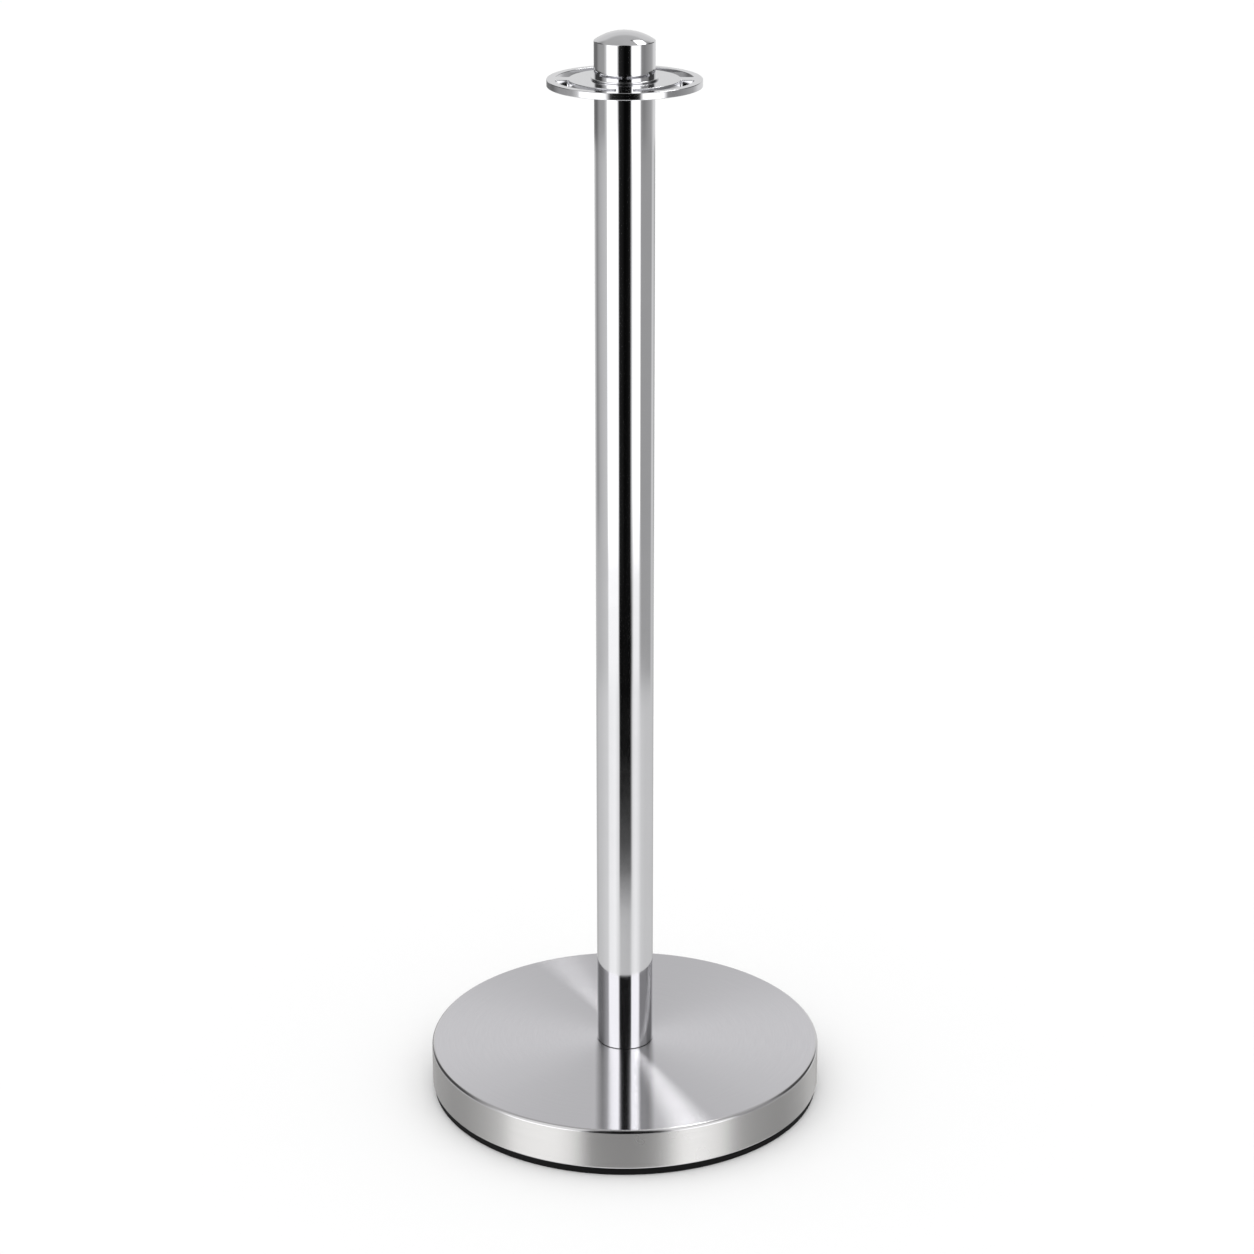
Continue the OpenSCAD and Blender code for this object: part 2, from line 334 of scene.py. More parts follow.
# Brushed stainless, side: a finer belt finish that turns the studio into soft
# upright bands, with a slight mottle where the hand had pressed more.
satin_stainless, tree, place = new_finish("satin_stainless")
lines = round_lines(tree, place, SIDE_LINE_SPACING, BRUSH_TURN, upright=True)
mottle = add(tree, "ShaderNodeTexNoise", {"Vector": place, "Scale": 1 / (SATIN_MOTTLE * MM),
                                          "Detail": 4.0})
tone = add(tree, "ShaderNodeMix", {"Factor": lines, "A": linear("#d6d5d4"),
                                   "B": linear("#dddcdb")}, data_type="RGBA")
rough = add(tree, "ShaderNodeMapRange", {"Value": mottle.outputs["Fac"], "To Min": 0.26,
                                         "To Max": 0.28})
bump = add(tree, "ShaderNodeBump", {"Height": lines, "Strength": 0.03, "Distance": 0.02 * MM})
along = add(tree, "ShaderNodeTangent", direction_type="RADIAL", axis="Z")
surface(tree, add(tree, "ShaderNodeBsdfAnisotropic", {
    "Color": tone.outputs["Result"], "Roughness": rough.outputs["Result"], "Anisotropy": 0.5,
    "Normal": bump.outputs["Normal"], "Tangent": along.outputs["Tangent"]}))

# Rolled edge: the spinning roller burnishes the bends, so they catch thin
# bright and dark lines that are sharper than the brushed faces beside them.
rolled_stainless, tree, place = new_finish("rolled_stainless")
mottle = add(tree, "ShaderNodeTexNoise", {"Vector": place, "Scale": 1 / (SATIN_MOTTLE * MM),
                                          "Detail": 6.0})
tone = add(tree, "ShaderNodeMix", {"Factor": mottle.outputs["Fac"], "A": linear("#d2d1d3"),
                                   "B": linear("#dddcdd")}, data_type="RGBA")
rough = add(tree, "ShaderNodeMapRange", {"Value": mottle.outputs["Fac"], "To Min": 0.12,
                                         "To Max": 0.2})
surface(tree, add(tree, "ShaderNodeBsdfPrincipled", {
    "Base Color": tone.outputs["Result"], "Metallic": 1.0,
    "Roughness": rough.outputs["Result"]}))

base_r, cover_foot, cover_top = reach_of("base_cover")
cover_in_r = base_r - COVER_WALL
cover = turned("brushed_base_cover", [
    *arc(base_r - HEM_EDGE, cover_foot + HEM_EDGE, HEM_EDGE, -90, 0),
    *arc(base_r - COVER_EDGE, cover_top - COVER_EDGE, COVER_EDGE, 0, 90, ROLL_STEPS),
    (BOLT_HOLE_RADIUS, cover_top),
    (BOLT_HOLE_RADIUS, cover_top - COVER_WALL),
    *arc(base_r - COVER_EDGE, cover_top - COVER_EDGE, COVER_EDGE - COVER_WALL, 90, 0),
    (cover_in_r, cover_foot + COVER_WALL),
    (cover_in_r - HEM_WIDTH, cover_foot + COVER_WALL),
    (cover_in_r - HEM_WIDTH, cover_foot),
])
dress(cover, spun_stainless, "base", "base_cover")
cover.data.materials.append(satin_stainless)
cover.data.materials.append(rolled_stainless)
# The walls get the side's finish, and the bends between wall and top the rolled one
for face in cover.data.polygons:
    if abs(face.normal.z) < UPRIGHT_UNDER:
        face.material_index = 1
    elif abs(face.normal.z) < LEVEL_OVER:
        face.material_index = 2

# ---------------------------------------------------------------------------
# Base bolt, clamp plate, washer and core sleeve
# One M12 hexagon bolt comes up from below through a spring washer and a round
# clamp plate, and draws the pole down on the base. A tube cast into the
# concrete keeps the bolt's hole true. All but the washer are zinc plated.
# ---------------------------------------------------------------------------
HEAD_ACROSS = 18.0
BOLT_RADIUS = 6.0
BOLT_PITCH = 1.75
BOLT_POINT = 1.2
THREAD_STEPS = 48
MERGE_DISTANCE = 0.001
ZINC_CLOUD = 9.0
ZINC_GRAIN = 0.6
SPRING_MOTTLE = 3.0
SHARP_ANGLE = 22

# A thread's depth and run-out, as shares of its pitch, and its shape in one
# pitch: how far along, and how deep as a share of the full depth
THREAD_DEPTH = 0.61
THREAD_RUN_OUT = 1.5
THREAD_SHAPE = [(0.0, 0.0), (0.125, 0.0), (0.34, 0.55), (0.5, 1.0), (0.625, 1.0),
                (0.78, 0.55)]


def add_thread(mesh, radius, pitch, foot, top, point):
    """Adds a threaded rod to a mesh, in mm, with a cone at its top end.

    The rows of points climb by one pitch in a turn, so the last column of a
    row joins the first column of the row one pitch above.
    """
    profile = len(THREAD_SHAPE)
    turns = math.ceil((top - foot) / pitch) + 2
    rows = []
    for row in range(turns * profile):
        share, depth = THREAD_SHAPE[row % profile]
        ring = []
        for s in range(THREAD_STEPS):
            z = foot + pitch * (row // profile - 1 + share + s / THREAD_STEPS)
            z = min(max(z, foot), top)
            cut = min(1, (z - foot) / (THREAD_RUN_OUT * pitch)) * THREAD_DEPTH * pitch * depth
            r = min(radius - cut, radius - point + top - z) * MM
            angle = math.tau * s / THREAD_STEPS
            ring.append(mesh.verts.new((r * math.cos(angle), r * math.sin(angle), z * MM)))
        rows.append(ring)
    for row in range(len(rows) - profile - 1):
        for s in range(THREAD_STEPS):
            if s + 1 < THREAD_STEPS:
                low, high = rows[row][s + 1], rows[row + 1][s + 1]
            else:
                low, high = rows[row + profile][0], rows[row + profile + 1][0]
            mesh.faces.new((rows[row][s], low, high, rows[row + 1][s]))
    bmesh.ops.remove_doubles(mesh, verts=mesh.verts, dist=MERGE_DISTANCE * MM)
    loose = [vert for vert in mesh.verts if not vert.link_faces]
    bmesh.ops.delete(mesh, geom=loose, context="VERTS")
    bmesh.ops.holes_fill(mesh, edges=mesh.edges, sides=0)


def add_hexagon_head(mesh, across, foot, top):
    """Adds a hexagon head to a mesh, with the corners of its foot turned off."""
    rings = []
    for ring in range(3):
        verts = []
        for s in range(THREAD_STEPS):
            angle = math.tau * s / THREAD_STEPS
            wide = across / 2 / math.cos(math.radians(math.degrees(angle) % 60 - 30))
            r, z = [(across / 2, foot), (wide, foot + (wide - across / 2) / 2),
                    (wide, top)][ring]
            verts.append(mesh.verts.new((r * MM * math.cos(angle), r * MM * math.sin(angle),
                                         z * MM)))
        rings.append(verts)
    for low, high in zip(rings, rings[1:]):
        for s in range(THREAD_STEPS):
            t = (s + 1) % THREAD_STEPS
            mesh.faces.new((low[s], low[t], high[t], high[s]))
    mesh.faces.new(reversed(rings[0]))
    mesh.faces.new(rings[-1])


# Zinc plate: a soft blue-white metal shine with faint clouds from the bath and
# a fine dull grain, duller than the stainless parts.
zinc_plate, tree, place = new_finish("zinc_plate")
cloud = add(tree, "ShaderNodeTexNoise", {"Vector": place, "Scale": 1 / (ZINC_CLOUD * MM),
                                         "Detail": 5.0, "Distortion": 0.6})
tone = add(tree, "ShaderNodeValToRGB", {"Fac": cloud.outputs["Fac"]})
tone.color_ramp.elements[0].position = 0.3
tone.color_ramp.elements[0].color = linear("#abaeb2")
tone.color_ramp.elements[1].position = 0.7
tone.color_ramp.elements[1].color = linear("#c3c3be")
tone.color_ramp.elements.new(0.5).color = linear("#b9bcbf")
grain = add(tree, "ShaderNodeTexNoise", {"Vector": place, "Scale": 1 / (ZINC_GRAIN * MM),
                                         "Detail": 3.0})
rough = add(tree, "ShaderNodeMapRange", {"Value": grain.outputs["Fac"], "To Min": 0.26,
                                         "To Max": 0.42})
bump = add(tree, "ShaderNodeBump", {"Height": grain.outputs["Fac"], "Strength": 0.15,
                                    "Distance": 0.05 * MM})
surface(tree, add(tree, "ShaderNodeBsdfPrincipled", {
    "Base Color": tone.outputs["Color"], "Metallic": 1.0,
    "Roughness": rough.outputs["Result"], "Normal": bump.outputs["Normal"]}))

# Spring steel: hardened dark grey with a brown-blue cast in patches, and an
# oiled, half-dull shine.
spring_steel, tree, place = new_finish("spring_steel")
mottle = add(tree, "ShaderNodeTexNoise", {"Vector": place, "Scale": 1 / (SPRING_MOTTLE * MM),
                                          "Detail": 6.0})
tone = add(tree, "ShaderNodeMix", {"Factor": mottle.outputs["Fac"], "A": linear("#55585e"),
                                   "B": linear("#7b7671")}, data_type="RGBA")
rough = add(tree, "ShaderNodeMapRange", {"Value": mottle.outputs["Fac"], "To Min": 0.3,
                                         "To Max": 0.48})
bump = add(tree, "ShaderNodeBump", {"Height": mottle.outputs["Fac"], "Strength": 0.15,
                                    "Distance": 0.05 * MM})
surface(tree, add(tree, "ShaderNodeBsdfPrincipled", {
    "Base Color": tone.outputs["Result"], "Metallic": 1.0,
    "Roughness": rough.outputs["Result"], "Normal": bump.outputs["Normal"]}))

_, bolt_foot, bolt_top = reach_of("base_bolt")
head_top = reach_of("base_spring_washer")[1]
mesh = bmesh.new()
add_thread(mesh, BOLT_RADIUS, BOLT_PITCH, head_top, bolt_top, BOLT_POINT)
add_hexagon_head(mesh, HEAD_ACROSS, bolt_foot, head_top)
dress(shown_piece("threaded_base_bolt", mesh, sharp=SHARP_ANGLE), zinc_plate, "base_bolt",
      "base_bolt")
dress(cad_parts["base_clamp_plate"], zinc_plate)
dress(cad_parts["base_core_sleeve"], zinc_plate)
dress(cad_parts["base_spring_washer"], spring_steel)

# ---------------------------------------------------------------------------
# Pole, its plugs and the foot gasket
# Stainless steel tube, polished to a mirror, with a turned steel plug pressed
# and welded into each end. It stands on a thin black rubber washer.
# ---------------------------------------------------------------------------
POLE_WALL = 1.2
POLISH_HAZE = 30.0
TOOL_MARK_SPACING = 0.5
TOOL_MARK_TURN = 0.8
MILL_SCALE = 6.0

# Polished stainless: a mirror with a little haze in drawn-out patches, where
# the wheel cut less, and the faintest ripple in the surface.
polished_stainless, tree, place = new_finish("polished_stainless")
haze = add(tree, "ShaderNodeTexNoise", {"Vector": place, "Scale": 1 / (POLISH_HAZE * MM),
                                        "Detail": 5.0, "Roughness": 0.6})
tone = add(tree, "ShaderNodeMix", {"Factor": haze.outputs["Fac"], "A": linear("#d6d6d8"),
                                   "B": linear("#dddddf")}, data_type="RGBA")
rough = add(tree, "ShaderNodeMapRange", {"Value": haze.outputs["Fac"], "From Min": 0.3,
                                         "From Max": 0.7, "To Min": 0.045, "To Max": 0.075})
bump = add(tree, "ShaderNodeBump", {"Height": haze.outputs["Fac"], "Strength": 0.04,
                                    "Distance": 0.1 * MM})
surface(tree, add(tree, "ShaderNodeBsdfPrincipled", {
    "Base Color": tone.outputs["Result"], "Metallic": 1.0,
    "Roughness": rough.outputs["Result"], "Normal": bump.outputs["Normal"]}))

# Mill steel: plain turned bar, mid grey, with tool marks round it and a dull
# brown bloom in places. The marks are drawn at 0.5 mm, so that they show.
mill_steel, tree, place = new_finish("mill_steel")
marks = round_lines(tree, place, TOOL_MARK_SPACING, TOOL_MARK_TURN)
bloom = add(tree, "ShaderNodeTexNoise", {"Vector": place, "Scale": 1 / (MILL_SCALE * MM),
                                         "Detail": 6.0})
tone = add(tree, "ShaderNodeMix", {"Factor": marks, "A": linear("#88898b"),
                                   "B": linear("#a3a4a6")}, data_type="RGBA")
dulled = add(tree, "ShaderNodeMapRange", {"Value": bloom.outputs["Fac"], "From Min": 0.52,
                                          "From Max": 0.72, "To Max": 0.5})
tone = add(tree, "ShaderNodeMix", {"Factor": dulled.outputs["Result"],
                                   "A": tone.outputs["Result"], "B": linear("#6d675f")},
           data_type="RGBA")
rough = add(tree, "ShaderNodeMapRange", {"Value": bloom.outputs["Fac"], "To Min": 0.3,
                                         "To Max": 0.5})
bump = add(tree, "ShaderNodeBump", {"Height": marks, "Strength": 0.3, "Distance": 0.05 * MM})
surface(tree, add(tree, "ShaderNodeBsdfPrincipled", {
    "Base Color": tone.outputs["Result"], "Metallic": 1.0,
    "Roughness": rough.outputs["Result"], "Normal": bump.outputs["Normal"]}))

pole_r, pole_foot, pole_top = reach_of("pole_tube")
dress(turned("polished_pole", [
    (pole_r, pole_foot), (pole_r, pole_top), (pole_r - POLE_WALL, pole_top),
    (pole_r - POLE_WALL, pole_foot)]),
    polished_stainless, "pole", "pole_tube")
dress(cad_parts["pole_bottom_plug"], mill_steel)
dress(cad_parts["pole_top_plug"], mill_steel)
dress(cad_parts["foot_gasket"], moulded_rubber)

# ---------------------------------------------------------------------------
# Head stud, its nut, the neck sleeve and the thrust washer
# An M10 stud is locked in the top plug with a thin nut. A ground steel sleeve
# stands round the nut as the journal of the ring plate, on a nylon washer.
# ---------------------------------------------------------------------------
STUD_PITCH = 1.5
STUD_POINT = 1.2
GROUND_LINE_SPACING = 0.4
GROUND_LINE_TURN = 1.5
NYLON_GRAIN = 1.2

# Ground steel: bright, with fine lines round it and a soft sheen along them
ground_steel, tree, place = new_finish("ground_steel")
lines = round_lines(tree, place, GROUND_LINE_SPACING, GROUND_LINE_TURN, upright=True)
tone = add(tree, "ShaderNodeMix", {"Factor": lines, "A": linear("#adaeb1"),
                                   "B": linear("#c4c4c5")}, data_type="RGBA")
rough = add(tree, "ShaderNodeMapRange", {"Value": lines, "To Min": 0.16, "To Max": 0.28})
bump = add(tree, "ShaderNodeBump", {"Height": lines, "Strength": 0.2, "Distance": 0.03 * MM})
surface(tree, add(tree, "ShaderNodeBsdfPrincipled", {
    "Base Color": tone.outputs["Result"], "Metallic": 1.0,
    "Roughness": rough.outputs["Result"], "Normal": bump.outputs["Normal"]}))

# Natural nylon: milky off-white, waxy and slightly see-through at the edges,
# with turned lines round it
natural_nylon, tree, place = new_finish("natural_nylon")
grain = add(tree, "ShaderNodeTexNoise", {"Vector": place, "Scale": 1 / (NYLON_GRAIN * MM),
                                         "Detail": 4.0})
lines = round_lines(tree, place, GROUND_LINE_SPACING, GROUND_LINE_TURN)
tone = add(tree, "ShaderNodeMix", {"Factor": grain.outputs["Fac"], "A": linear("#dedbd0"),
                                   "B": linear("#ece9e1")}, data_type="RGBA")
rough = add(tree, "ShaderNodeMapRange", {"Value": grain.outputs["Fac"], "To Min": 0.4,
                                         "To Max": 0.52})
bump = add(tree, "ShaderNodeBump", {"Height": lines, "Strength": 0.3, "Distance": 0.05 * MM})
surface(tree, add(tree, "ShaderNodeBsdfPrincipled", {
    "Base Color": tone.outputs["Result"], "Roughness": rough.outputs["Result"], "IOR": 1.53,
    "Subsurface Weight": 0.15, "Subsurface Scale": 1.5 * MM,
    "Normal": bump.outputs["Normal"]}))

stud_r, stud_foot, stud_top = reach_of("head_stud")
mesh = bmesh.new()
add_thread(mesh, stud_r, STUD_PITCH, stud_foot, stud_top, STUD_POINT)
dress(shown_piece("threaded_head_stud", mesh, sharp=SHARP_ANGLE), zinc_plate, "pole",
      "head_stud")
dress(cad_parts["stud_jam_nut"], zinc_plate)
dress(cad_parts["neck_sleeve"], ground_steel)
dress(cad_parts["lower_thrust_washer"], natural_nylon)

# ---------------------------------------------------------------------------
# Ring plate
# A 6 mm stainless steel disc with four curved slots for the rope hooks, cut
# out, broken at the edges and polished all over. It turns on a nylon bush.
# ---------------------------------------------------------------------------
PLATE_BORE = 18.0
PLATE_EDGE = 0.7
BORE_EDGE = 0.2
SLOT_EDGE = 0.5
SLOT_IN_RADIUS = 46.7
SLOT_OUT_RADIUS = 58.0
SLOT_CORNER = 2.0
BRIDGE_WIDTH = 14.0
PLATE_STEPS = 256
SLOT_STEPS = 56
CORNER_STEPS = 8
PLATE_LINE_SPACING = 1.1
PLATE_LINE_TURN = 4.0

# Polished plate: a mirror like the pole's, with the faint circles of the
# polishing wheel, drawn coarser than the real ones so that they show.
polished_plate, tree, place = new_finish("polished_plate")
lines = round_lines(tree, place, PLATE_LINE_SPACING, PLATE_LINE_TURN)
tone = add(tree, "ShaderNodeMix", {"Factor": lines, "A": linear("#d2d2d5"),
                                   "B": linear("#dcdcde")}, data_type="RGBA")
rough = add(tree, "ShaderNodeMapRange", {"Value": lines, "From Min": 0.3, "From Max": 0.7,
                                         "To Min": 0.08, "To Max": 0.12})
bump = add(tree, "ShaderNodeBump", {"Height": lines, "Strength": 0.05, "Distance": 0.03 * MM})
surface(tree, add(tree, "ShaderNodeBsdfPrincipled", {
    "Base Color": tone.outputs["Result"], "Metallic": 1.0,
    "Roughness": rough.outputs["Result"], "Normal": bump.outputs["Normal"]}))

plate_r, plate_foot, plate_top = reach_of("rope_ring_plate")


def turn_about(x, y, radius, start, end, steps, way=1):
    """Points on an arc, in mm and degrees, each facing out from its centre.

    With way -1 each point faces the centre instead.
    """
    points = []
    for step in range(steps):
        angle = math.radians(start + (end - start) * step / steps)
        out_x, out_y = math.cos(angle), math.sin(angle)
        points.append((x + radius * out_x, y + radius * out_y, way * out_x, way * out_y))
    return points


def slot_outline():
    """The slot between +X and +Y, clockwise, each point facing the middle of the slot."""
    side = BRIDGE_WIDTH / 2 + SLOT_CORNER
    points = []
    reaches = []
    for middle_r in (SLOT_OUT_RADIUS - SLOT_CORNER, SLOT_IN_RADIUS + SLOT_CORNER):
        reach = math.sqrt(middle_r ** 2 - side ** 2)
        reaches.append((reach, math.degrees(math.atan2(side, reach))))
    (out_x, out_lean), (in_x, in_lean) = reaches
    points += turn_about(out_x, side, SLOT_CORNER, -90, out_lean, CORNER_STEPS, -1)
    points += turn_about(0, 0, SLOT_OUT_RADIUS, out_lean, 90 - out_lean, SLOT_STEPS, -1)
    points += turn_about(side, out_x, SLOT_CORNER, 90 - out_lean, 180, CORNER_STEPS, -1)
    points += [(side - SLOT_CORNER, out_x, 1, 0)]
    points += turn_about(side, in_x, SLOT_CORNER, 180, 270 - in_lean, CORNER_STEPS, -1)
    points += turn_about(0, 0, SLOT_IN_RADIUS, 90 - in_lean, in_lean, SLOT_STEPS)
    points += turn_about(in_x, side, SLOT_CORNER, 180 + in_lean, 270, CORNER_STEPS, -1)
    points += [(in_x, side - SLOT_CORNER, 0, 1)]
    return points[::-1]


# Each wall of the plate: its outline, and how far its edges are rounded
slot = slot_outline()
walls = [(turn_about(0, 0, plate_r, 0, 360, PLATE_STEPS), PLATE_EDGE),
         (turn_about(0, 0, PLATE_BORE, 360, 0, PLATE_STEPS, -1), BORE_EDGE)]
for quarter in range(4):
    cos, sin = round(math.cos(quarter * math.pi / 2)), round(math.sin(quarter * math.pi / 2))
    walls.append(([(cos * x - sin * y, sin * x + cos * y,
                    cos * way_x - sin * way_y, sin * way_x + cos * way_y)
                   for x, y, way_x, way_y in slot], SLOT_EDGE))

mesh = bmesh.new()
normals = []
rims = ([], [])
for outline, edge in walls:
    # From the top rim round its edge, down the wall and round to the lower rim
    rows = []
    for angle in [90 - 90 * i / ARC_STEPS for i in range(2 * ARC_STEPS + 1)]:
        flat, up = math.cos(math.radians(angle)), math.sin(math.radians(angle))
        inset = edge * (1 - flat)
        z = plate_top - edge + edge * up if angle >= 0 else plate_foot + edge + edge * up
        rows.append((inset, z, flat, up))
        if angle == 0:
            rows.append((inset, plate_foot + edge, flat, up))
    rings = [[mesh.verts.new(((x - way_x * inset) * MM, (y - way_y * inset) * MM, z * MM))
              for x, y, way_x, way_y in outline] for inset, z, _, _ in rows]
    for (high, high_row), (low, low_row) in zip(zip(rings, rows), zip(rings[1:], rows[1:])):
        for s in range(len(outline)):
            t = (s + 1) % len(outline)
            mesh.faces.new((low[s], low[t], high[t], high[s]))
            for turn, (_, _, flat, up) in ((s, low_row), (t, low_row), (t, high_row),
                                           (s, high_row)):
                way_x, way_y = outline[turn][2:]
                normals.append((way_x * flat, way_y * flat, up))
    for rim, ring in zip(rims, (rings[0], rings[-1])):
        rim += [mesh.edges.get((a, b)) for a, b in zip(ring, ring[1:] + ring[:1])]
walls_end = len(mesh.faces)
for rim, up in zip(rims, (1, -1)):
    filled = bmesh.ops.triangle_fill(mesh, edges=rim, normal=(0, 0, up), use_beauty=True)
    for face in filled["geom"]:
        if isinstance(face, bmesh.types.BMFace):
            face.normal_update()
            if face.normal.z * up < 0:
                face.normal_flip()
mesh.faces.ensure_lookup_table()
for face in mesh.faces[walls_end:]:
    normals += [(0, 0, math.copysign(1, face.normal.z))] * 3
dress(shown_piece("slotted_ring_plate", mesh, normals), polished_plate, "ring_plate",
      "rope_ring_plate")
dress(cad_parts["ring_bush"], natural_nylon)

# ---------------------------------------------------------------------------
# Collar and wave washer
# A turned and polished stainless collar sits on the ring plate. The steel wave
# washer in its hollow presses it up against the cap.
# ---------------------------------------------------------------------------
WAVE_BORE = 16.0
WAVE_STEPS = 144
WAVE_COUNT = 3
WAVE_THICK = 0.4

wave_r, wave_foot, wave_top = reach_of("wave_washer")
swing = (wave_top - wave_foot - WAVE_THICK) / 2
mesh = bmesh.new()
rings = []
for r, lift in ((wave_r, 0), (wave_r, WAVE_THICK), (WAVE_BORE, WAVE_THICK), (WAVE_BORE, 0)):
    ring = []
    for s in range(WAVE_STEPS):
        angle = math.tau * s / WAVE_STEPS
        z = wave_foot + lift + swing * (1 + math.sin(WAVE_COUNT * angle))
        ring.append(mesh.verts.new((r * MM * math.cos(angle), r * MM * math.sin(angle),
                                    z * MM)))
    rings.append(ring)
for i in range(4):
    low, high = rings[i], rings[(i + 1) % 4]
    for s in range(WAVE_STEPS):
        t = (s + 1) % WAVE_STEPS
        mesh.faces.new((low[s], low[t], high[t], high[s]))
dress(shown_piece("bent_wave_washer", mesh, sharp=SHARP_ANGLE), spring_steel, "collar",
      "wave_washer")
dress(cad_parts["cap_collar"], polished_stainless)

# ---------------------------------------------------------------------------
# Cap
# A stainless cup, drawn and polished, with a low domed top. Inside, a steel
# boss with the stud's thread and a disc that closes the mouth are welded in.
# ---------------------------------------------------------------------------
CAP_RISE = 8.2
CAP_WALL = 1.2
CAP_SHOULDER = 1.0
CAP_INNER_SHOULDER = 0.3
DOME_STEPS = 24
INNER_DOME_STEPS = 16

cap_r, cap_foot, cap_top = reach_of("cap_shell")
dome_r = (cap_r ** 2 + CAP_RISE ** 2) / (2 * CAP_RISE)
dome_z = cap_top - dome_r


def dome(side_r, sphere_r, shoulder, steps):
    """From the side, over its rounded shoulder and up the dome to the centre."""
    reach = side_r - shoulder
    rise = math.sqrt((sphere_r - shoulder) ** 2 - reach ** 2)
    lean = math.degrees(math.atan2(rise, reach))
    return (arc(reach, dome_z + rise, shoulder, 0, lean)
            + arc(0, dome_z, sphere_r, lean, 90, steps)[1:-1]
            + [(0, dome_z + sphere_r, 0, 1)])


inside = dome(cap_r - CAP_WALL, dome_r - CAP_WALL, CAP_INNER_SHOULDER, INNER_DOME_STEPS)
dress(turned("polished_cap", [
    (cap_r, cap_foot), *dome(cap_r, dome_r, CAP_SHOULDER, DOME_STEPS),
    *[(r, z, -way_r, -way_z) for r, z, way_r, way_z in reversed(inside)],
    (cap_r - CAP_WALL, cap_foot)]),
    polished_stainless, "cap", "cap_shell")
dress(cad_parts["cap_boss"], mill_steel)
dress(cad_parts["cap_closing_disc"], mill_steel)

# ---------------------------------------------------------------------------
# Studio: pale floor, soft light and camera
# A pale paper floor under soft white light. Cards stand all round for the metal
# to mirror, and one softbox hangs above and behind.
# ---------------------------------------------------------------------------
world = bpy.data.worlds.new("studio")
bpy.context.scene.world = world
world.use_nodes = True
world.cycles.sampling_method = "NONE"
tree = world.node_tree
tree.nodes.clear()
place = add(tree, "ShaderNodeTexCoord")
axes = add(tree, "ShaderNodeSeparateXYZ", {"Vector": place.outputs["Generated"]})
toward = add(tree, "ShaderNodeMath", {0: axes.outputs["Y"], 1: -1.0}, operation="MULTIPLY")
angle = add(tree, "ShaderNodeMath", {0: axes.outputs["X"], 1: toward.outputs[0]},
            operation="ARCTAN2")
around = add(tree, "ShaderNodeMapRange", {"Value": angle.outputs[0], "From Min": -math.pi,
                                          "From Max": math.pi})
# Cards round the object in rings, from the floor up. Each ring takes over
# between two elevations, in degrees, and lists how bright it is at bearings in
# degrees from the camera's side, to the right.
BRIGHTEST = 6.0
RINGS = [
    (None, [(-180, 1.0), (180, 1.0)]),
    ((-46, -38), [(-180, .9), (-150, .44), (-128, .2), (-108, .2), (-92, .3), (-72, .68),
                  (-56, .85), (-42, .85), (-30, .5), (-20, .33), (4, .3), (14, .4), (24, .86),
                  (33, 1.05), (42, 1.0), (52, .74), (68, .3), (84, .14), (108, .11),
                  (132, .36), (152, .7), (180, .95)]),
    ((-27.6, -26.9), [(-180, .75), (-160, .6), (-146, .56), (-130, .7), (-110, .74), (-92, .8),
                      (-74, .86), (-64, 1.15), (-40, 1.22), (-26, 1.0), (-16, .72), (14, .68),
                      (21, .7), (30, 1.0), (44, 1.13), (56, 1.04), (70, .82), (90, .76),
                      (120, .74), (140, .7), (160, .52), (180, .55)]),
    ((-21.6, -20.9), [(-180, .8), (-162, .7), (-148, .58), (-130, .58), (-110, .62), (-90, .68),
                      (-72, .74), (-66, 1.3), (-27, 1.3), (-20, .02), (0, .004), (21, .01),
                      (32, .9), (37, 1.2), (56, 1.2), (64, .6), (70, .44), (120, .45),
                      (132, .72), (160, .54), (180, .6)]),
    ((-19.6, -17.5), [(-180, .8), (-162, .75), (-148, .6), (-132, .34), (-110, .56), (-90, .67),
                      (-73, .74), (-66, 2.2), (-28, 2.2), (-21, .02), (0, .003), (12, .006),
                      (21, .02), (30, 1.35), (35, 2.2), (58, 2.2), (65, .43), (122, .43),
                      (132, .82), (144, .72), (160, .4), (170, .3), (180, .35)]),
    ((-11.9, -11.4), [(-180, .6), (-160, .22), (-130, .18), (-112, .4), (-84, .44), (-73, .8),
                      (-66, 2.2), (-33, 2.2), (-22, .03), (0, .003), (12, .004), (22, .02),
                      (29, 2.2), (55, 2.2), (66, .34), (78, .28), (120, .5), (138, .85),
                      (180, .8)]),
    ((-2, 2), [(-180, .82), (-152, .78), (-138, .07), (-98, .06), (-84, .5), (-74, .8),
               (-67, 2.2), (-28, 2.2), (-21, .01), (0, .003), (14, .004), (24, .03), (29, 2.2),
               (58, 2.2), (66, .4), (96, .35), (104, .06), (138, .07), (150, .8), (180, .82)]),
    ((14, 30), [(-180, .77), (-154, .77), (-142, .1), (-112, .1), (-84, .6), (-74, .8),
                (-67, 2.8), (-28, 2.8), (-21, .01), (14, .004), (24, .03), (29, 2.8),
                (58, 2.8), (66, .4), (96, .35), (110, .1), (142, .1), (154, .76), (180, .77)]),
    ((36, 48), [(-180, .57), (-110, .5), (-76, .6), (-67, 1.4), (-28, 1.4), (-21, .01),
                (25, .01), (30, 1.4), (58, 1.4), (66, .4), (100, .5), (180, .57)]),
    ((56, 70), [(-180, .56), (-110, .48), (-76, .48), (-67, .5), (-28, .5), (-20, .06),
                (22, .06), (30, .6), (58, .6), (66, .5), (100, .54), (180, .56)]),
]
colour = None
